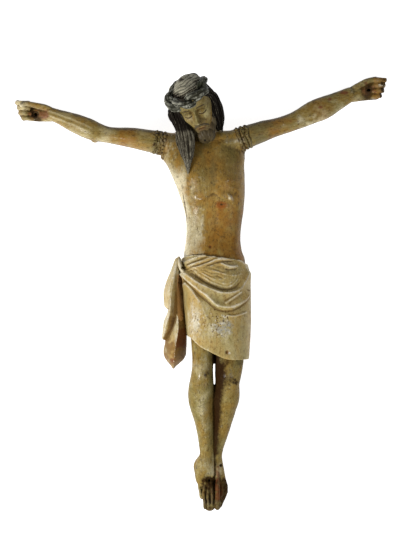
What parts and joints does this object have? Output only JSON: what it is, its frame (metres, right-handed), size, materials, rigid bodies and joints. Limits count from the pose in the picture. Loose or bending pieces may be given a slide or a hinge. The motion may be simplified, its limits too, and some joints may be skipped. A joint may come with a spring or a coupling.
{
  "type": "crucifix corpus figure",
  "caption": "Carved and painted wooden corpus of a crucifix, arms spread, head bowed, in a knotted loincloth, flat behind and bored for three nails.",
  "frame": {"origin": "middle of the flat of the back, in the plane that the figure bears on", "axes": "+Z out of the front of the figure, +Y towards its head, +X towards its left hand, which is the viewer's right"},
  "size_m": [0.6813, 0.8006, 0.1299],
  "materials": {
    "painted_wood": "old oil paint over gesso on carved wood, worn and lightly varnished"
  },
  "bodies": {
    "root": {"body": "painted_wood", "right_arm": "painted_wood", "left_arm": "painted_wood"}
  },
  "joints": []
}
